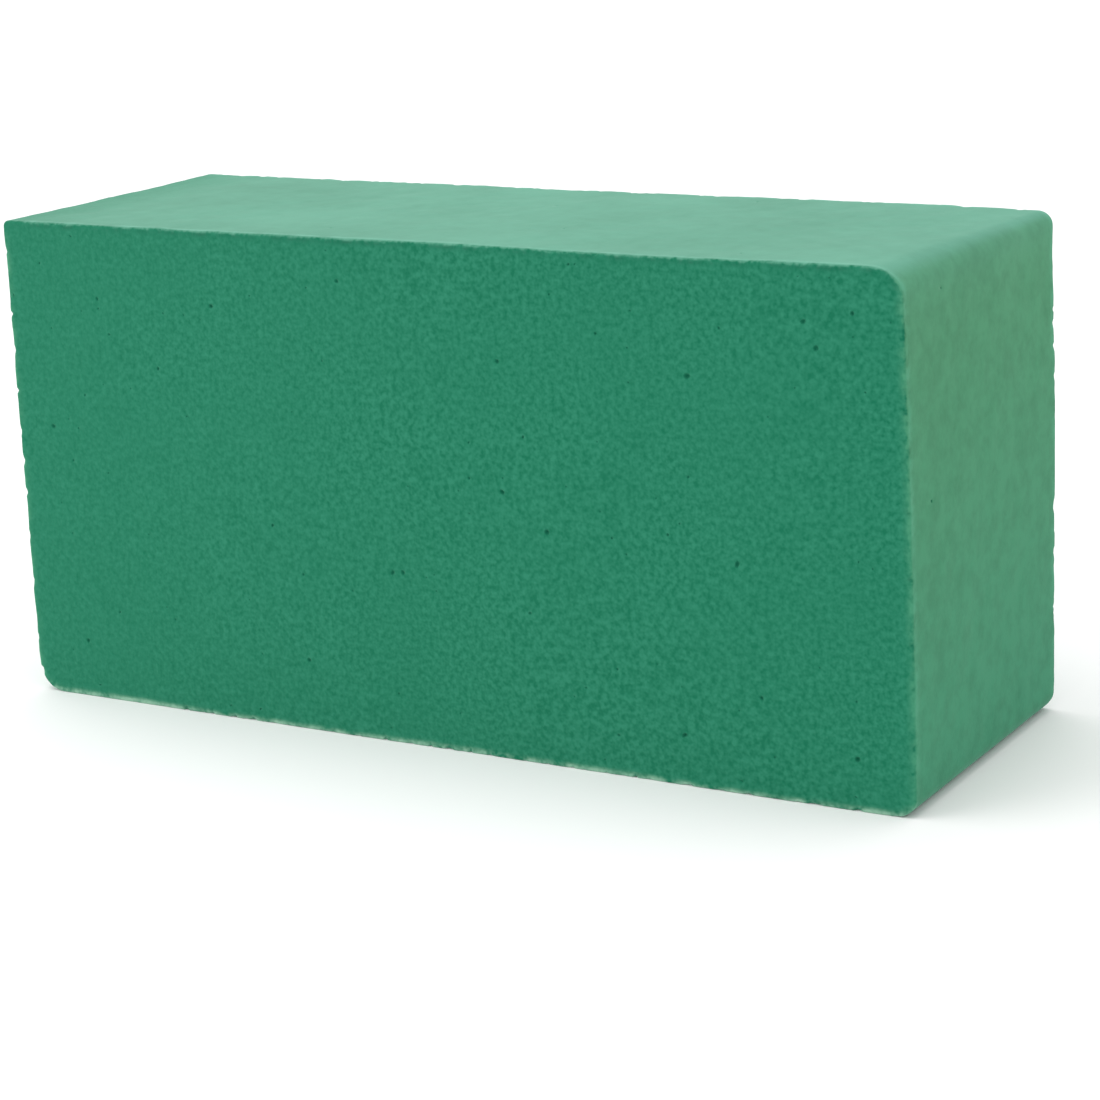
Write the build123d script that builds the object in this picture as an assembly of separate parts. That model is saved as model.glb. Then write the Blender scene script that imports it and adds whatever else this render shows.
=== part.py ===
from build123d import *
import os

# A floral foam brick: one block of rigid open-cell foam that florists soak and push stems into.
# It is sawn from a larger slab, so it is a single piece with nothing fixed to it or inside it.
# Frame, in millimetres: origin at the centre of the underside, +X along the length,
# +Y from the front face to the back face, +Z up. The brick stands on one long narrow face.

# Size over the faces
LENGTH = 200.0
THICKNESS = 70.0
HEIGHT = 100.0

# Radii of the four edges that run from front to back. They differ, as on a real brick:
# sawing leaves an edge nearly sharp, and the rub against other bricks rounds it.
TOP_LEFT_RADIUS = 1.5
TOP_RIGHT_RADIUS = 6.0
BOTTOM_LEFT_RADIUS = 6.0
BOTTOM_RIGHT_RADIUS = 4.0

# Radius of the sawn edge all round the front face and all round the back face
SAWN_EDGE_RADIUS = 0.6


def front_outline():
    """The outline seen from the front: a rectangle with its own rounding at each corner."""
    left = -LENGTH / 2
    right = LENGTH / 2
    corners = (
        ((left, HEIGHT), TOP_LEFT_RADIUS),
        ((right, HEIGHT), TOP_RIGHT_RADIUS),
        ((left, 0), BOTTOM_LEFT_RADIUS),
        ((right, 0), BOTTOM_RIGHT_RADIUS),
    )
    outline = Pos(0, HEIGHT / 2) * Rectangle(LENGTH, HEIGHT)
    for corner, radius in corners:
        sharp_corner = outline.vertices().sort_by_distance(corner)[0]
        outline = fillet(sharp_corner, radius)
    return outline


def foam_brick():
    """The outline carried through the thickness, with its front and back edges broken."""
    block = extrude(Plane.XZ * front_outline(), THICKNESS / 2, both=True)
    front = block.faces().sort_by(Axis.Y)[0]
    back = block.faces().sort_by(Axis.Y)[-1]
    return fillet(front.edges() + back.edges(), SAWN_EDGE_RADIUS)


os.makedirs("parts", exist_ok=True)
brick = foam_brick()
brick.label = "foam_brick"
export_step(brick, "parts/foam_brick.step")
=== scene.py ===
import math

import bpy
import numpy as np
from mathutils import Matrix, Vector


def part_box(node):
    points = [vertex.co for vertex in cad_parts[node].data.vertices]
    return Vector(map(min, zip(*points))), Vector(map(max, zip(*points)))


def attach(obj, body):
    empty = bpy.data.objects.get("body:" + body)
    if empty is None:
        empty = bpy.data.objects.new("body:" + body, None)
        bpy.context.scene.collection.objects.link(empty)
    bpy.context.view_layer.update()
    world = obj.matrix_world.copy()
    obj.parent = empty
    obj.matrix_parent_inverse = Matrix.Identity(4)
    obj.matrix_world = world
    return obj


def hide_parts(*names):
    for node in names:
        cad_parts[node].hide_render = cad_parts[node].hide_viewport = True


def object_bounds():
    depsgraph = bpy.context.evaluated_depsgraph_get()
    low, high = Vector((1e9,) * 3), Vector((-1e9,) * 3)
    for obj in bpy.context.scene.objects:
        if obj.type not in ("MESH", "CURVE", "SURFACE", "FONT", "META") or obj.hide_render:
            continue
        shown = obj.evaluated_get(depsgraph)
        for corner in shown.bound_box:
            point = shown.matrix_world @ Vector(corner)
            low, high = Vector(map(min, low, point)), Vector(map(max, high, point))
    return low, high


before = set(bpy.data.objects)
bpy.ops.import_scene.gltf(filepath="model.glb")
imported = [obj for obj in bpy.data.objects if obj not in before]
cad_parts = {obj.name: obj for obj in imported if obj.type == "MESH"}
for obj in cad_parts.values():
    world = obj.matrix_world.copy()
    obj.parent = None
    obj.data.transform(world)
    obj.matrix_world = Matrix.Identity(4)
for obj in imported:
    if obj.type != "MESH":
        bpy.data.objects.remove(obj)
cad_low, cad_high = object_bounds()

# ---------------------------------------------------------------------------------------------
# The camera. It stands to the right of the brick and a little above it, close enough for the
# far end to look smaller, and it is tipped a little, so the brick leans to the left.
# ---------------------------------------------------------------------------------------------
MM = 0.001
CAMERA_AZIMUTH = math.radians(30.27)
CAMERA_ELEVATION = math.radians(14.91)
CAMERA_TIP = math.radians(-2.24)
CAMERA_DISTANCE = 598.8 * MM
CAMERA_LENS_MM = 97.45
CAMERA_SENSOR_MM = 36.0
CAMERA_SEES_FROM = 0.01
CAMERA_SEES_TO = 100.0
AIM_FROM_CENTRE = Vector((6.6, -1.5, -17.4)) * MM

towards_camera = Vector((
    math.sin(CAMERA_AZIMUTH) * math.cos(CAMERA_ELEVATION),
    -math.cos(CAMERA_AZIMUTH) * math.cos(CAMERA_ELEVATION),
    math.sin(CAMERA_ELEVATION),
))
camera_aim = (cad_low + cad_high) / 2 + AIM_FROM_CENTRE
camera_data = bpy.data.cameras.new("camera")
camera_data.lens = CAMERA_LENS_MM
camera_data.sensor_width = CAMERA_SENSOR_MM
camera_data.clip_start = CAMERA_SEES_FROM
camera_data.clip_end = CAMERA_SEES_TO
camera = bpy.data.objects.new("camera", camera_data)
bpy.context.scene.collection.objects.link(camera)
camera.matrix_world = (
    Matrix.Translation(camera_aim + towards_camera * CAMERA_DISTANCE)
    @ (-towards_camera).to_track_quat("-Z", "Y").to_matrix().to_4x4()
    @ Matrix.Rotation(CAMERA_TIP, 4, "Z")
)
bpy.context.scene.camera = camera

# ---------------------------------------------------------------------------------------------
# The brick: one block of rigid phenolic foam, blown as a slab and sawn to size. Its broad faces
# are fresh cuts with open cells and pinholes; its narrow faces are dusty, and the sawn edges
# between them have crumbled a little. The narrow faces' paler colour is partly dust and partly
# painted sheen, and the pale line beside the edges is partly rubbing and partly painted highlight.
# ---------------------------------------------------------------------------------------------
brick_low, brick_high = (np.array(corner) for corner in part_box("foam_brick"))
brick_centre = (brick_low + brick_high) / 2
half_length, half_thickness, half_height = (brick_high - brick_low) / 2
half_face = np.array([half_length, half_height])

# A broad face's corners in turn, from the bottom left: which side of the centre each is on,
# and how far its rounding reaches along and up, on the front face and on the back one
CORNER_SIDE = np.array([(-1, -1), (1, -1), (1, 1), (-1, 1)])
FRONT_ROUNDING = np.array([(6.0, 6.0), (4.4, 4.0), (6.6, 4.8), (1.5, 1.5)]) * MM
BACK_ROUNDING = np.array([(4.5, 4.5), (4.0, 4.0), (3.4, 3.2), (2.4, 2.0)]) * MM
FRONT_LEAN = 2.1 * MM                 # how far the right end leans in at its top, at the front
BACK_LEAN = 0.4 * MM                  # and at the back: it is sawn a little out of square

# The net of points: the steps along each stretch, the radius of the sawn edge, how far from
# that edge the close rings of points lie on both sides of it, how far past it a face's moves
# die away, and how far in from the outline the flat nets start
CORNER_STEPS = 6
LENGTH_STEPS = 308
HEIGHT_STEPS = 144
HALF_THICKNESS_STEPS = 20
SAWN_EDGE = 0.45 * MM
SAWN_EDGE_STEPS = 3
EDGE_RINGS = np.array([0.0, 0.3, 0.7, 1.3, 2.1, 3.0]) * MM
EDGE_BLEND = 2.5 * MM
FLAT_NET_INSET = 5.4 * MM


def outline(rounding, lean):
    """Points round a broad face and their outward directions, anticlockwise from the bottom
    left as seen from the front. Along a side the point runs straight between two corners'
    centres, pushed out by their roundings; at a corner it follows a quarter ellipse, half of
    it on each side's account. Then each point is drawn in from the right, by the lean times
    its share of the length times its share of the height squared."""
    centre = CORNER_SIDE * (half_face - rounding)
    half_turn = np.linspace(0, math.pi / 4, CORNER_STEPS + 1)
    points = []
    outward = []
    for side in range(4):
        far = (side + 1) % 4
        steps = HEIGHT_STEPS if side % 2 else LENGTH_STEPS
        straight = np.linspace(0, 1, steps + 1)
        along = np.r_[np.zeros(CORNER_STEPS), straight, np.ones(CORNER_STEPS)][:-1, None]
        turn = np.r_[half_turn - math.pi / 4, np.zeros(steps - 1), half_turn][:-1]
        angle = (side - 1) * math.pi / 2 + turn
        ray = np.column_stack([np.cos(angle), np.sin(angle)])
        reach = rounding[side] * (1 - along) + rounding[far] * along
        points.append(centre[side] * (1 - along) + centre[far] * along + reach * ray)
        outward.append(ray / reach)
    points = np.concatenate(points)
    share = 0.5 + points / (2 * half_face)
    points[:, 0] -= lean * share[:, 0] * share[:, 1] ** 2
    outward = np.concatenate(outward)
    return points, outward / np.linalg.norm(outward, axis=1, keepdims=True)


def mirrored(half, sign=1):
    """Values from the front face to the middle of the thickness, then back out to the back
    face, with that sign."""
    return np.r_[half, sign * half[-2::-1]]


def brick_surface():
    """The smooth closed surface: points, their outward directions, the ways they may be moved,
    nets of point numbers, and the triangles between nets. The outline is carried from inside
    the front face out over its edge, along the thickness, over the back's edge and in again,
    which makes a tube, the first net. A flat net of half as many points closes each end, its
    lines level with the points halfway between the tube's opposite sides, and a ring of
    triangles joins it on. Near a sawn edge a point is moved along both faces' directions at
    once, so the edge keeps its radius. Also each tube column's distance round the outline, and
    each row's distance from the sawn edge, below zero on the broad faces."""
    flat = half_thickness - SAWN_EDGE
    arc = np.linspace(-math.pi / 2, 0, SAWN_EDGE_STEPS + 1)[1:-1]
    face = -EDGE_RINGS[::-1]
    side = np.r_[EDGE_RINGS[:-1], np.linspace(EDGE_RINGS[-1], flat, HALF_THICKNESS_STEPS + 1)]
    tilt = mirrored(np.r_[np.full(len(face), -math.pi / 2), arc, np.zeros(len(side))], -1)
    level = mirrored(np.r_[np.zeros(len(face) + len(arc)), side] - flat, -1)
    inset = mirrored(np.r_[-face, np.zeros(len(arc) + len(side))])
    half_arc = SAWN_EDGE * math.pi / 4
    from_edge = mirrored(np.r_[face - half_arc, SAWN_EDGE * arc + half_arc, side + half_arc])

    front, front_out = outline(FRONT_ROUNDING, FRONT_LEAN)
    back, back_out = outline(BACK_ROUNDING, BACK_LEAN)
    share = ((level / half_thickness + 1) / 2)[:, None]
    line = front[:, None] * (1 - share) + back[:, None] * share
    out = front_out[:, None] * (1 - share) + back_out[:, None] * share
    out /= np.linalg.norm(out, axis=2, keepdims=True)
    place = line - SAWN_EDGE * (1 - np.cos(tilt))[:, None] * out
    place = place * (1 - inset[:, None] / half_face)
    depth = np.broadcast_to(level + SAWN_EDGE * np.sin(tilt), place.shape[:2])
    lift = np.broadcast_to(np.sin(tilt), place.shape[:2])
    reach = np.exp(-(from_edge / EDGE_BLEND) ** 2)
    sideways = out * np.where(from_edge > 0, 1, reach)[:, None]
    endways = np.broadcast_to(np.where(from_edge < 0, 1, reach) * np.sign(level), lift.shape)
    out = out * np.cos(tilt)[:, None]
    around = np.r_[0, np.cumsum(np.linalg.norm(np.diff(front, axis=0), axis=1))]

    tube = np.arange(place.shape[0] * place.shape[1]).reshape(place.shape[:2])
    points = [np.stack([place[..., 0], depth, place[..., 1]], axis=-1).reshape(-1, 3)]
    facing = [np.stack([out[..., 0], lift, out[..., 1]], axis=-1).reshape(-1, 3)]
    moving = [np.stack([sideways[..., 0], endways, sideways[..., 1]], axis=-1).reshape(-1, 3)]
    nets = [np.vstack([tube, tube[:1]])[:, ::-1]]
    rings = []
    count = tube.size
    corners = np.cumsum([2 * CORNER_STEPS + steps for steps in (LENGTH_STEPS, HEIGHT_STEPS) * 2])
    shrink = (half_face - FLAT_NET_INSET) / (half_face - EDGE_RINGS[-1])
    for end, column in ((-1, 0), (1, -1)):
        rim = place[:, column] * shrink
        bottom, right, top, left = np.split(rim, corners[:-1])
        x = np.r_[rim[0, 0], (bottom[2::2, 0] + top[-2:0:-2, 0]) / 2, right[0, 0]]
        z = np.r_[rim[0, 1], (right[2::2, 1] + left[-2:0:-2, 1]) / 2, top[0, 1]]
        x, z = np.meshgrid(x, z, indexing="ij")
        net = count + np.arange(x.size).reshape(x.shape)
        count += x.size
        y = np.full(x.size, end * half_thickness)
        points.append(np.column_stack([x.ravel(), y, z.ravel()]))
        facing.append(np.tile((0.0, end, 0.0), (x.size, 1)))
        moving.append(facing[-1])
        nets.append(net if end < 0 else net[::-1])
        inner = np.r_[net[:, 0], net[-1, 1:], net[-2::-1, -1], net[0, -2::-1]]
        outer = np.r_[tube[:, column], tube[:1, column]]
        first, second, third = outer[0:-1:2], outer[1::2], outer[2::2]
        ring = np.concatenate([
            np.column_stack([first, second, inner[:-1]]),
            np.column_stack([second, inner[1:], inner[:-1]]),
            np.column_stack([second, third, inner[1:]]),
        ])
        rings.append(ring if end < 0 else ring[:, ::-1])
    joined = [np.concatenate(part) for part in (points, facing, moving)]
    return joined[0] + brick_centre, *joined[1:], nets, np.concatenate(rings), around, from_edge


# Relief: the depth and length of each size of hollow in the faces, and the deepest in all. Each
# size is many waves, whose lengths are between two shares of the one given
RELIEF = ((0.11 * MM, 48 * MM), (0.030 * MM, 9 * MM), (0.014 * MM, 2.6 * MM))
DEEPEST_RELIEF = 0.45 * MM
WAVES = 40
WAVE_LENGTHS = (0.7, 1.5)


def waves(points, length, rng):
    """Soft relief, mostly within -2 to 2: cosine waves of random direction, phase and length,
    the lengths spread about the one given, added up and divided to an average size of one."""
    direction = rng.normal(size=(3, WAVES))
    direction /= np.linalg.norm(direction, axis=0)
    pitch = direction * (2 * math.pi / (length * rng.uniform(*WAVE_LENGTHS, WAVES)))
    phase = rng.uniform(0, 2 * math.pi, WAVES)
    return np.cos(points @ pitch + phase).sum(axis=1) / math.sqrt(WAVES / 2)


# Nicks in each sawn edge: how many, their width along the edge, the deepest, the shallowest as
# a share of it, how rare the deep ones are, and how far a nick reaches to each side of the edge
NICKS = 200
NICK_WIDTH = (0.5 * MM, 1.6 * MM)
NICK_DEPTH = 0.35 * MM
NICK_LEAST = 0.1
NICK_RARITY = 2.5
NICK_REACH = 0.55 * MM


def crumbled(around, from_edge, rng):
    """How deep each point of the tube is nicked. A nick is a flat-topped bell round the outline,
    with a fourth power in it, and a bell of the distance from the sawn edge, and where nicks
    overlap the deepest counts. The front's edge and the back's have their own."""
    near = np.exp(-(from_edge / NICK_REACH) ** 2)
    depth = np.zeros((len(around), len(from_edge)))
    for rows in (slice(None, len(near) // 2), slice(len(near) // 2, None)):
        at = rng.uniform(0, around[-1], NICKS)
        width = rng.uniform(*NICK_WIDTH, NICKS) / 2
        deep = NICK_DEPTH * rng.uniform(NICK_LEAST, 1, NICKS) ** NICK_RARITY
        bell = (deep * np.exp(-((around[:, None] - at) / width) ** 4)).max(axis=1)
        depth[:, rows] = bell[:, None] * near[rows]
    return depth


# Pinholes, bubbles in the foam that the saw has opened: the small ones anywhere, the larger
# ones in the back face, and in the front face the lesser ones and the large ones, each of
# these with its place along the length from the middle and up from the foot, and its radius
SMALL_PINHOLES = 190
SMALL_RADIUS = 0.14 * MM              # of the smallest: a gamma distribution's worth is added
SMALL_SPREAD = 0.05 * MM              # the distribution's scale
SMALL_EVENNESS = 1.2                  # and its shape
NARROW_SHARE = 0.05                   # how likely one is in a narrow face, beside a broad one
BACK_PINHOLES = 24
BACK_RADIUS = (0.32 * MM, 0.60 * MM)
LESSER_PINHOLES = 12
LESSER_RADIUS = (0.28 * MM, 0.42 * MM)
LARGE_PINHOLES = np.array([
    (56, 78, 0.62), (65, 44, 0.58), (25, 45.5, 0.56), (89.5, 10.5, 0.62),
    (54, 9, 0.56), (-91.5, 58.5, 0.54), (82, 84.5, 0.54), (79.5, 89, 0.52),
    (-49.5, 84, 0.50), (17, 54, 0.52), (-9, 36, 0.50), (-7, 34.5, 0.48),
    (16, 77, 0.46), (-29.5, 13.5, 0.48), (65.5, 5, 0.46), (89.5, 91, 0.44),
    (-18.5, 93.5, 0.42), (69.5, 20, 0.42),
]) * MM
LARGEST_RADIUS = 0.62 * MM

# The shape of a pinhole. Its sides are pushed in or out by shares of its radius
SIDES = 8
FIRST_SIDE = -3                       # where the first is, in eighths of a turn: at a block's corner
COLLAR = 0.14 * MM                    # the width of the ring of surface round its mouth
MOUTH_SINK = 0.05 * MM                # how far the mouth's rim has sunk
STRETCH = 0.28                        # the most that it is longer one way
SIDE_REACH = (0.85, 1.12)             # how far out each corner is
LONGEST_REACH = 1.45                  # the most that both can make of its radius, and to spare
DEPTH = (0.6, 0.9)                    # the floor's depth, as shares of the radius
WALL_REACH = 0.55                     # the wall's ring: its share of the mouth's reach
WALL_DEPTH = 0.75                     # and of the floor's depth
RING_INSIDE = (0.0, 0.35, 0.9)        # how deep inside the collar, mouth and wall count as

# The blocks of the net that pinholes are cut in
WIDE_ENOUGH = 1.15 * MM               # the narrowest one
ROOM_SHARE = 0.9                      # the share of a block's half width that is used
FLAT_ENOUGH = 0.9999                  # the least cosine between two corners' directions
SQUARE_ON = 0.9                       # the least cosine with a broad face's direction


def pierced(points, facing, nets, rng):
    """Sorts the nets into blocks of two by two cells and sinks a pinhole in some of them: three
    rings of eight points, the collar, the mouth and the wall, inside the block's own rim, with
    the block's middle point as the floor. A ring is an ellipse of random stretch, its points
    pushed in or out a little. Returns the points, the faces, how deep inside a pinhole each
    point is, from 0 to 1, and the point of the smooth surface that each one goes with."""
    windows = np.lib.stride_tricks.sliding_window_view
    blocks = np.concatenate([windows(net, (3, 3))[::2, ::2].reshape(-1, 3, 3) for net in nets])
    centre = points[blocks[:, ::2, ::2]].mean(axis=(1, 2))
    along = points[blocks[:, 2, 1]] - points[blocks[:, 0, 1]]
    across = points[blocks[:, 1, 2]] - points[blocks[:, 1, 0]]
    width = np.linalg.norm(along, axis=1)
    height = np.linalg.norm(across, axis=1)
    flat = (facing[blocks[:, 0, 0]] * facing[blocks[:, 2, 2]]).sum(axis=1) > FLAT_ENOUGH
    usable = np.flatnonzero(flat & (np.minimum(width, height) > WIDE_ENOUGH))
    depthways = facing[blocks[usable, 1, 1], 1]
    front = usable[depthways < -SQUARE_ON]
    away = centre[front][:, [0, 2]] - LARGE_PINHOLES[:, None, :2]
    placed = front[np.linalg.norm(away, axis=2).argmin(axis=1)]
    lesser = rng.choice(np.setdiff1d(front, placed), LESSER_PINHOLES, replace=False)
    back = rng.choice(usable[depthways > SQUARE_ON], BACK_PINHOLES, replace=False)
    large = np.r_[placed, lesser, back]
    likely = np.where(np.abs(depthways) > SQUARE_ON, 1.0, NARROW_SHARE)
    likely = likely * ~np.isin(usable, large)
    small = rng.choice(usable, SMALL_PINHOLES, replace=False, p=likely / likely.sum())
    chosen = np.r_[large, small]
    plain = blocks[np.setdiff1d(np.arange(len(blocks)), chosen)]
    middle = blocks[chosen, 1, 1]

    count = len(chosen)
    one_each = (count, 1)
    along = (along / width[:, None])[chosen, None]
    across = (across / height[:, None])[chosen, None]
    out = np.cross(along, across)
    radius = np.r_[
        LARGE_PINHOLES[:, 2],
        rng.uniform(*LESSER_RADIUS, LESSER_PINHOLES),
        rng.uniform(*BACK_RADIUS, BACK_PINHOLES),
        SMALL_RADIUS + rng.gamma(SMALL_EVENNESS, SMALL_SPREAD, SMALL_PINHOLES),
    ]
    room = np.minimum(width, height)[chosen] / 2 * ROOM_SHARE - COLLAR
    radius = np.minimum(radius, np.minimum(room / LONGEST_REACH, LARGEST_RADIUS))[:, None]
    angle = 2 * math.pi / SIDES * (np.arange(SIDES) + FIRST_SIDE)
    slant = rng.uniform(0, math.pi, one_each)
    stretch = 1 + rng.uniform(0, STRETCH, one_each) * np.cos(2 * (angle - slant))
    reach = (radius * stretch * rng.uniform(*SIDE_REACH, (count, SIDES)))[..., None]
    depth = (radius * rng.uniform(*DEPTH, one_each))[..., None]
    ray = np.cos(angle)[:, None] * along + np.sin(angle)[:, None] * across
    slack = np.maximum(room[:, None] - radius * LONGEST_REACH, 0)
    shift = rng.uniform(-1, 1, (count, 2)) * slack
    hole = centre[chosen, None] + shift[:, :1, None] * along + shift[:, 1:, None] * across
    collar = hole + ray * (reach + COLLAR)
    mouth = hole + ray * reach - out * MOUTH_SINK
    wall = hole + ray * reach * WALL_REACH - out * depth * WALL_DEPTH
    points = points.copy()
    points[middle] = (hole - out * depth)[:, 0]

    rim = blocks[chosen][:, [0, 1, 2, 2, 2, 1, 0, 0], [0, 0, 0, 1, 2, 2, 2, 1]]
    loops = [rim, *(len(points) + np.arange(3 * count * SIDES).reshape(3, count, SIDES))]
    quads = [
        np.stack([outer, np.roll(outer, -1, 1), np.roll(inner, -1, 1), inner], axis=-1)
        for outer, inner in zip(loops[:-1], loops[1:])
    ]
    quads += [
        plain[:, [i, i + 1, i + 1, i], [j, j, j + 1, j + 1]] for i in (0, 1) for j in (0, 1)
    ]
    floor = np.broadcast_to(middle[:, None], (count, SIDES))
    fans = np.stack([loops[-1], np.roll(loops[-1], -1, 1), floor], axis=-1)
    inside = np.zeros(len(points))
    inside[middle] = 1
    inside = np.r_[inside, np.repeat(RING_INSIDE, count * SIDES)]
    goes_with = np.r_[np.arange(len(points)), np.tile(np.repeat(middle, SIDES), 3)]
    points = np.concatenate([points, *(ring.reshape(-1, 3) for ring in (collar, mouth, wall))])
    quads = np.concatenate([part.reshape(-1, 4) for part in quads])
    return points, quads, fans.reshape(-1, 3), inside, goes_with


SEED = 20

rng = np.random.default_rng(SEED)
points, facing, moving, nets, rings, around, from_edge = brick_surface()
tube_shape = (len(around), len(from_edge))
tube_size = tube_shape[0] * tube_shape[1]
on_faces = np.zeros(len(points) - tube_size)
nicked = np.r_[crumbled(around, from_edge, rng).ravel(), on_faces]
relief = sum(depth * (waves(points, length, rng) - 1) for depth, length in RELIEF)
relief = np.clip(relief, -DEEPEST_RELIEF, 0)
standing = 1 - np.clip(-facing[:, 2], 0, 1)            # 0 on the underside, which rests flat
moved = points + moving * (relief * standing - nicked)[:, None]
moved, quads, fans, inside, goes_with = pierced(moved, facing, nets, rng)
moved[:, 2] = np.maximum(moved[:, 2], brick_low[2])

mesh = bpy.data.meshes.new("brick")
mesh.from_pydata(moved.tolist(), [], quads.tolist() + fans.tolist() + rings.tolist())
mesh.shade_smooth()
brick = bpy.data.objects.new("brick", mesh)
bpy.context.scene.collection.objects.link(brick)

# Where the colour changes, from 0 to 1: a pale line beside the sawn edges, partly rubbing and
# partly painted highlight, on the narrow faces at the top and the ends, and on the edge itself at
# the foot, where it is painted highlight; bruised dark on the broad faces beside them, most at
# the top and not at the foot; brink on the edges themselves; fresh in the nicks; a paler layer on
# the narrow faces, partly dust and partly painted sheen, less at the left of the top and
# underside; upward on the top and underside, and a little way down the ends from the top
RUB_AND_HIGHLIGHT_AT = 0.45 * MM                    # its distance from the edge at the ends
RUB_AND_HIGHLIGHT_AT_TOP = 0.50 * MM                # how much farther it is at the top, and nearer at the foot
RUB_AND_HIGHLIGHT_WIDTH = 1.3 * MM                  # its width at the ends
RUB_AND_HIGHLIGHT_NARROWER = 0.7 * MM               # how much narrower it is at the top and the foot
BRUISE_AT = -0.6 * MM
BRUISE_WIDTH = 0.5 * MM
BRUISE_AT_ENDS = 0.6                  # its strength there, where the top has 1
BRINK_WIDTH = 0.45 * MM
FRESH_FROM = 0.10 * MM
FRESH_FULL = 0.28 * MM
LYING_GAIN = 1.2                      # with these two, a rounded corner has all of the top's colour for its first 23 degrees, and none for its last 5
LYING_LOSS = 0.1                      # finish for its first 23 degrees, and none for its last 5
TOP_RUNS_DOWN = 5 * MM
TOP_RUNS_SHARE = 0.55
DUST_AND_SHEEN_CURVE = 0.5                      # below one: the paler dust and painted sheen start early on the rounded edge
# How far from the left end, and by how much, the narrow faces' paler colour is lessened on the top
# and underside
LEFT_FADE_REACH = 12 * MM
LEFT_FADE_SHARE = 0.45
side_facing = facing[:tube_size].reshape(*tube_shape, 3)[:, tube_shape[1] // 2]
up = side_facing[:, 2:]
rub_and_highlight_width = RUB_AND_HIGHLIGHT_WIDTH - RUB_AND_HIGHLIGHT_NARROWER * np.abs(up)
rub_and_highlight = np.exp(-((from_edge - RUB_AND_HIGHLIGHT_AT - RUB_AND_HIGHLIGHT_AT_TOP * up) / rub_and_highlight_width) ** 2)
bruised = np.exp(-((from_edge - BRUISE_AT) / BRUISE_WIDTH) ** 2)
bruised = bruised * np.clip(BRUISE_AT_ENDS + up, 0, 1)
brink = np.broadcast_to(np.exp(-(from_edge / BRINK_WIDTH) ** 2), tube_shape)
from_top = brick_high[2] - points[:, 2]
from_left = points[:, 0] - brick_low[0]
lying = np.broadcast_to(np.clip(np.abs(up) * LYING_GAIN - LYING_LOSS, 0, 1) ** 2, tube_shape)
on_end = np.broadcast_to(np.abs(side_facing[:, :1]) > 0.5, tube_shape)
run_down = np.exp(-from_top / TOP_RUNS_DOWN) * TOP_RUNS_SHARE * np.r_[on_end.ravel(), on_faces]
upward = np.maximum(np.r_[lying.ravel(), on_faces], run_down)
dust_and_sheen = np.clip(1 - np.abs(facing[:, 1]), 0, 1) ** DUST_AND_SHEEN_CURVE
dust_and_sheen = dust_and_sheen * (1 - LEFT_FADE_SHARE * upward * np.exp(-(from_left / LEFT_FADE_REACH) ** 2))
fresh = np.clip((nicked - FRESH_FROM) / (FRESH_FULL - FRESH_FROM), 0, 1)
spread = {
    "inside": inside,
    "rub_and_highlight": np.r_[rub_and_highlight.ravel(), on_faces][goes_with],
    "bruised": np.r_[bruised.ravel(), on_faces][goes_with],
    "brink": np.r_[brink.ravel(), on_faces][goes_with],
    "fresh": fresh[goes_with],
    "dust_and_sheen": dust_and_sheen[goes_with],
    "upward": upward[goes_with],
}
for name, values in spread.items():
    mesh.attributes.new(name, "FLOAT", "POINT").data.foreach_set("value", values)


class Wire:
    """An output in a material's node tree. Arithmetic on wires adds Math nodes, so a finish is
    written as a sum; a plain number stays a number in the node that takes it."""

    def __init__(self, tree, socket=None):
        self.tree = tree
        self.socket = socket

    def node(self, kind, settings, inputs, output=0):
        """Adds a node of that kind: its settings first, then each socket's value or wire."""
        made = self.tree.nodes.new(kind)
        for name, value in settings.items():
            setattr(made, name, value)
        for name, value in inputs.items():
            if isinstance(value, Wire):
                self.tree.links.new(value.socket, made.inputs[name])
            else:
                made.inputs[name].default_value = value
        return Wire(self.tree, made.outputs[output] if made.outputs else None)

    def math(self, operation, *values):
        """One Math node on those values."""
        return self.node("ShaderNodeMath", {"operation": operation}, dict(enumerate(values)))

    def __add__(self, other):
        return self.math("ADD", self, other)

    def __sub__(self, other):
        return self.math("SUBTRACT", self, other)

    def __rsub__(self, other):
        return self.math("SUBTRACT", other, self)

    def __mul__(self, other):
        return self.math("MULTIPLY", self, other)

    __radd__ = __add__
    __rmul__ = __mul__

    def held(self):
        """The same value kept between 0 and 1."""
        return self.node("ShaderNodeClamp", {}, {"Value": self})

    def between(self, low, high):
        """The colour that goes from low to high as this value goes from 0 to 1."""
        return self.node("ShaderNodeMix", {"data_type": "RGBA"}, {0: self, 6: low, 7: high}, 2)

    def tinted(self, tint):
        """This colour multiplied by another."""
        settings = {"data_type": "RGBA", "blend_type": "MULTIPLY"}
        return self.node("ShaderNodeMix", settings, {0: 1.0, 6: self, 7: tint}, 2)


foam = bpy.data.materials.new("foam")
foam.use_nodes = True
foam.node_tree.nodes.clear()
foam_nodes = Wire(foam.node_tree)
on_brick = foam_nodes.node("ShaderNodeTexCoord", {}, {}, "Object")


def noise(size, detail, rough=0.5, stretch=(1, 1, 1)):
    """Soft noise about zero, with lumps of that size, longer where the stretch is below one."""
    place = foam_nodes.node("ShaderNodeMapping", {}, {"Vector": on_brick, "Scale": stretch})
    inputs = {"Vector": place, "Scale": 1 / size, "Detail": detail, "Roughness": rough}
    return foam_nodes.node("ShaderNodeTexNoise", {}, inputs) - 0.5


def marked(name):
    """A value that the mesh carries."""
    return foam_nodes.node("ShaderNodeAttribute", {"attribute_name": name}, {}, "Fac")


def along_axis(axis):
    """How far along that axis a point is."""
    return foam_nodes.node("ShaderNodeSeparateXYZ", {}, {"Vector": on_brick}, axis)


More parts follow.
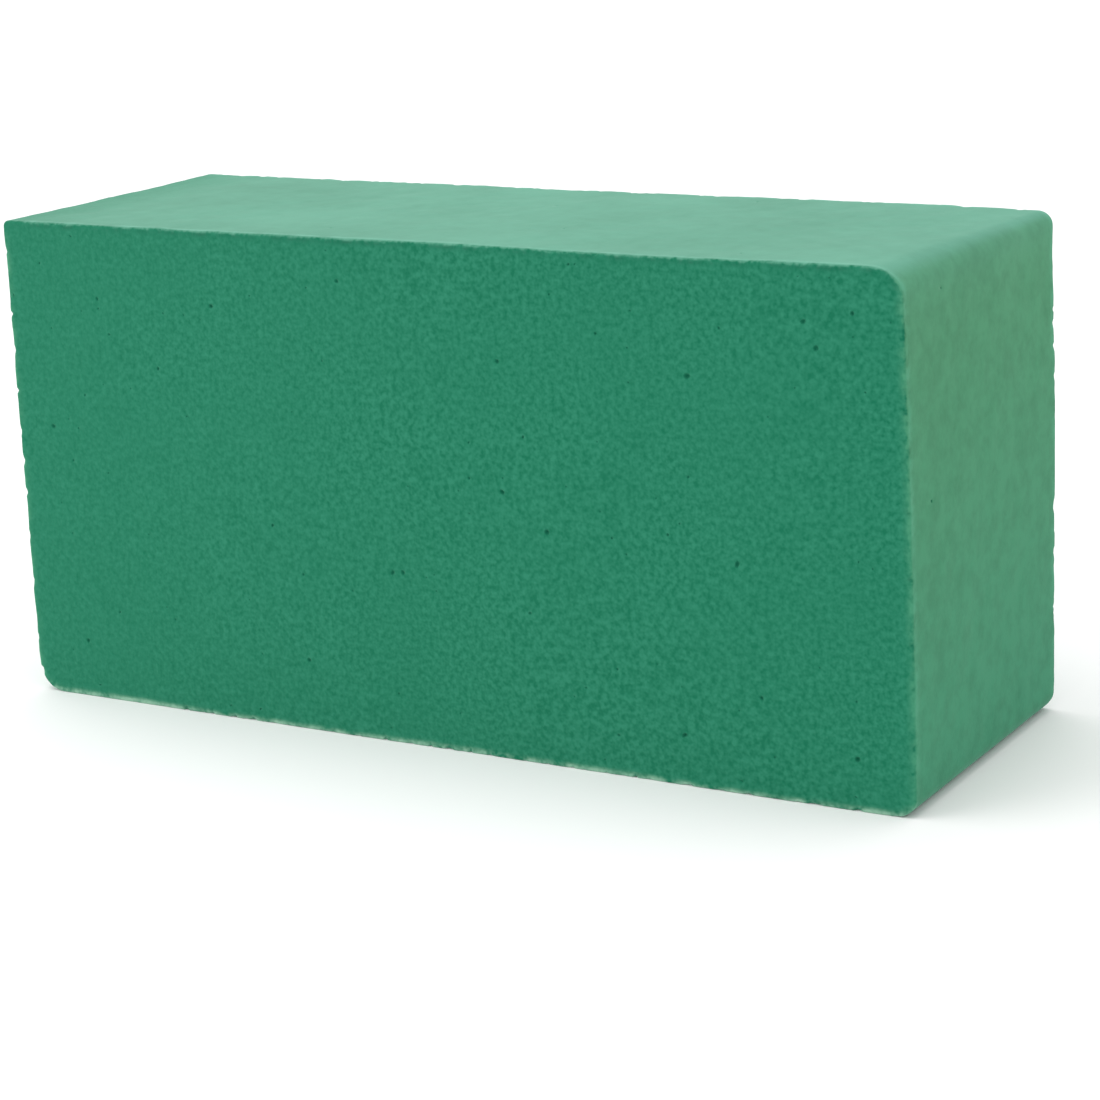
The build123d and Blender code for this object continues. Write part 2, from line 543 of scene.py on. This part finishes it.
# The foam's own unevenness: the cells, clumps of them, soft blotches, the slow change of tone
# across a face, and faint drag marks along the length
CELL_SIZE = 0.5 * MM
cell = {"Vector": on_brick, "Scale": 1 / CELL_SIZE}
kinds = {
    "cells": foam_nodes.node("ShaderNodeTexVoronoi", {}, cell, "Distance") - 0.5,
    "grain": noise(size=1.05 * MM, detail=1.0, rough=0.6),
    "patch": noise(size=3.6 * MM, detail=1.0),
    "cloud": noise(size=30 * MM, detail=3.0),
    "drag": noise(size=1.5 * MM, detail=2.0, stretch=(0.05, 0.6, 1)),
}


def uneven(**shares):
    """The sum of the kinds of unevenness, each times its share."""
    parts = [kinds[kind] * share for kind, share in shares.items()]
    return sum(parts[1:], parts[0])


CUT_DEEP = (0.006, 0.167, 0.086, 1)
CUT_PALE = (0.0275, 0.241, 0.141, 1)
BRUISED = (0.008, 0.140, 0.076, 1)
# The narrow faces: dust and painted sheen together, the ends paler and yellower towards the top
END_FOOT = (0.042, 0.268, 0.147, 1)
END_HEAD = (0.070, 0.281, 0.140, 1)
TOP_DUST_AND_SHEEN = (0.109, 0.342, 0.238, 1)
SKIN_DIM = (0.80, 0.84, 0.82, 1)
# The pale line beside the edges: painted highlight at the foot, elsewhere partly rubbing and partly
# painted highlight, paler towards the top
FOOT_HIGHLIGHT = (0.310, 0.530, 0.395, 1)
RUB_AND_HIGHLIGHT_LOW = (0.064, 0.312, 0.182, 1)
RUB_AND_HIGHLIGHT_HIGH = (0.084, 0.335, 0.192, 1)
RUB_AND_HIGHLIGHT_TOP = (0.130, 0.395, 0.280, 1)
# Painted shade inside the pinholes
HOLLOW_SHADE = (0.0005, 0.115, 0.060, 1)

# Heights are shares of the brick's height, and strengths are what a finish has on average
FOOT_HIGHLIGHT_UP_TO = 0.03
RUB_AND_HIGHLIGHT_TOP_FROM = 0.25
RUB_AND_HIGHLIGHT_TOP_FULL = 0.50
GRAIN_IN_MIDDLE = 1.02                # the grain's strength halfway along, where 1 is the most
GRAIN_LOST_AT_LEFT = 0.42             # and how much of it has gone at the left end
CUT_SHADE = 0.5
SKIN_SHADE = 0.55
BRUISE_STRENGTH = 0.35
RUB_AND_HIGHLIGHT_STRENGTH = 0.65
HOLLOW_SHADE_STRENGTH = 0.9
SKIN_SMOOTHS = 0.75                   # how much of the cells' relief the dust fills
CELL_RELIEF = 0.12 * MM

height = along_axis("Z") * (1 / (2 * half_height))
from_middle = along_axis("X") * (1 / half_length)
lying_flat = marked("upward")
new_break = marked("fresh")
ragged = marked("brink") * uneven(grain=2.2, patch=1.5)
dust_and_sheen_cover = (marked("dust_and_sheen") * (1 - new_break) + ragged).held()

clumps = uneven(grain=2.1 + kinds["cloud"] * 2.5, cells=-0.13)
clumps = clumps * (GRAIN_IN_MIDDLE + from_middle * GRAIN_LOST_AT_LEFT).held()
cut = (CUT_SHADE + clumps + uneven(patch=0.18, cloud=0.1)).held().between(CUT_DEEP, CUT_PALE)
bruise = marked("bruised") * (BRUISE_STRENGTH + uneven(patch=2.0, grain=1.5))
cut = bruise.held().between(cut, BRUISED)

blotches = uneven(
    grain=1.1 - lying_flat * 0.8,
    patch=2.2 - lying_flat * 1.4,
    cloud=1.1 + lying_flat * 1.1,
    drag=0.2,
)
# The narrow faces' colour, partly dust and partly painted sheen
dust_and_sheen_colour = lying_flat.between(height.between(END_FOOT, END_HEAD), TOP_DUST_AND_SHEEN)
dust_and_sheen_dimmed = dust_and_sheen_colour.tinted(SKIN_DIM)
dust_and_sheen_colour = (SKIN_SHADE + blotches).held().between(dust_and_sheen_dimmed, dust_and_sheen_colour)

# The pale line beside the edges, partly rubbing and partly painted highlight; at the foot it is
# painted highlight only
at_foot = (height * (1 / FOOT_HIGHLIGHT_UP_TO)).held()
at_top = ((height - RUB_AND_HIGHLIGHT_TOP_FROM) * (1 / (RUB_AND_HIGHLIGHT_TOP_FULL - RUB_AND_HIGHLIGHT_TOP_FROM))).held()
rub_and_highlight_colour = at_foot.between(FOOT_HIGHLIGHT, height.between(RUB_AND_HIGHLIGHT_LOW, RUB_AND_HIGHLIGHT_HIGH))
rub_and_highlight_colour = (lying_flat * at_top).held().between(rub_and_highlight_colour, RUB_AND_HIGHLIGHT_TOP)
rub_and_highlight_amount = marked("rub_and_highlight") * (RUB_AND_HIGHLIGHT_STRENGTH + uneven(patch=2.4, grain=1.2)) * (1 - new_break)

colour = dust_and_sheen_cover.between(cut, dust_and_sheen_colour)
colour = rub_and_highlight_amount.held().between(colour, rub_and_highlight_colour)
# Painted shade inside the pinholes, darker the deeper in
colour = (marked("inside") * HOLLOW_SHADE_STRENGTH).held().between(colour, HOLLOW_SHADE)
raised = uneven(grain=0.8, cells=-0.35) * (1 - dust_and_sheen_cover * SKIN_SMOOTHS)
bump = {"Strength": 1.0, "Distance": CELL_RELIEF, "Height": raised}
foam_nodes.node("ShaderNodeOutputMaterial", {}, {
    "Surface": foam_nodes.node("ShaderNodeBsdfPrincipled", {}, {
        "Base Color": colour,
        "Normal": foam_nodes.node("ShaderNodeBump", {}, bump, "Normal"),
        "Roughness": 0.93,
        "Diffuse Roughness": 0.6,
        "Specular IOR Level": 0.1,
        "Sheen Weight": 0.1,
        "Sheen Roughness": 0.5,
    }),
})
mesh.materials.append(foam)
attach(brick, "root")
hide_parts("foam_brick")

# ---------------------------------------------------------------------------------------------
# The floor: a wide round sheet of matt white board, the same all over. The brick stands on it
# by its own weight.
# ---------------------------------------------------------------------------------------------
FLOOR_RADIUS = 8.0
FLOOR_SIDES = 96
FLOOR_WHITE = (0.88, 0.88, 0.88, 1)
FLOOR_ROUGHNESS = 0.9
FLOOR_SHINE = 0.1

floor_turn = np.arange(FLOOR_SIDES) * (2 * math.pi / FLOOR_SIDES)
floor_rim = np.column_stack([np.cos(floor_turn), np.sin(floor_turn), np.zeros(FLOOR_SIDES)])
floor_mesh = bpy.data.meshes.new("floor")
floor_mesh.from_pydata((floor_rim * FLOOR_RADIUS).tolist(), [], [list(range(FLOOR_SIDES))])
board = bpy.data.materials.new("white_board")
board.use_nodes = True
board_sockets = board.node_tree.nodes["Principled BSDF"].inputs
board_sockets["Base Color"].default_value = FLOOR_WHITE
board_sockets["Roughness"].default_value = FLOOR_ROUGHNESS
board_sockets["Specular IOR Level"].default_value = FLOOR_SHINE
floor_mesh.materials.append(board)
floor = bpy.data.objects.new("floor", floor_mesh)
bpy.context.scene.collection.objects.link(floor)

# ---------------------------------------------------------------------------------------------
# The light: a white room that lights everything evenly, one broad soft light from overhead,
# and a weaker lamp in front, to the left of the brick.
# ---------------------------------------------------------------------------------------------
ROOM_WHITE = (1, 1, 1, 1)
ROOM_LIGHT = 1.0
OVERHEAD_LIGHT = 1.0                  # watts on each square metre
OVERHEAD_SPREAD = math.radians(48)
OVERHEAD_FROM = Vector((-0.25, 0.0, 1.4))
OVERHEAD_AIM = Vector((0.0, 0.0, 0.05))
FRONT_LAMP_POWER = 2.4                # watts
FRONT_LAMP_SIZE = 0.6
FRONT_LAMP_FROM = Vector((-0.60, -0.65, 0.45))
FRONT_LAMP_AIM = Vector((-0.03, 0.0, 0.05))

world = bpy.data.worlds.new("room")
bpy.context.scene.world = world
world.use_nodes = True
world.node_tree.nodes.clear()
room = Wire(world.node_tree)
lit = room.node("ShaderNodeBackground", {}, {"Color": ROOM_WHITE, "Strength": ROOM_LIGHT})
room.node("ShaderNodeOutputWorld", {}, {"Surface": lit})


def lamp(name, kind, energy, stands_at, aim):
    """A light of that kind, turned from where it stands towards its aim."""
    data = bpy.data.lights.new(name, kind)
    data.energy = energy
    made = bpy.data.objects.new(name, data)
    bpy.context.scene.collection.objects.link(made)
    turned = (aim - stands_at).to_track_quat("-Z", "Y").to_matrix().to_4x4()
    made.matrix_world = Matrix.Translation(stands_at) @ turned
    return data


overhead = lamp("overhead", "SUN", OVERHEAD_LIGHT, OVERHEAD_FROM, OVERHEAD_AIM)
overhead.angle = OVERHEAD_SPREAD
front_lamp = lamp("front_left", "AREA", FRONT_LAMP_POWER, FRONT_LAMP_FROM, FRONT_LAMP_AIM)
front_lamp.size = FRONT_LAMP_SIZE
bpy.context.scene.view_settings.view_transform = "Standard"
